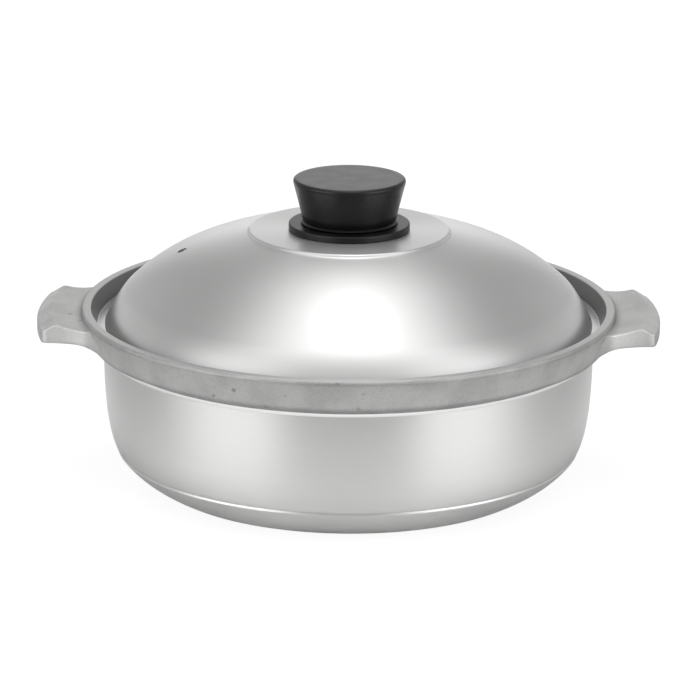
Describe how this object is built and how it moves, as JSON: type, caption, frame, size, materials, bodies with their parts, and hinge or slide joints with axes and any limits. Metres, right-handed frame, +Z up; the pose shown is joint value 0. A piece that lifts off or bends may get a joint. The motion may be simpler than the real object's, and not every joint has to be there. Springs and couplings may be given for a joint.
{
  "type": "cooking pot",
  "caption": "Wide, shallow cast aluminium cooking pot with cast ears, a lid ledge inside its collar and a loose domed lid with a tapered black knob.",
  "frame": {"origin": "on the table under the middle of the pot", "axes": "+X through the right ear, as seen from the front, +Y to the back, +Z up"},
  "size_m": [0.314, 0.2696, 0.1545],
  "materials": {
    "cast_aluminium": "as cast on collar and ears, satin turned on the bowl",
    "spun_aluminium": "fine satin",
    "black_resin": "fine matt, moulded",
    "brass": "turned",
    "stainless_steel": "bright drawn"
  },
  "bodies": {
    "pot": {"pot_body": "cast_aluminium"},
    "lid": {"lid_shell": "spun_aluminium", "knob_seat": "black_resin", "knob_grip": "black_resin", "knob_insert": "brass", "knob_screw": "stainless_steel", "spring_washer": "stainless_steel", "plain_washer": "stainless_steel"}
  },
  "joints": [
    {"name": "lid_lift", "type": "slide", "parent": "pot", "child": "lid", "axis": [0, 0, 1], "range_m": [0, 0.12]}
  ]
}
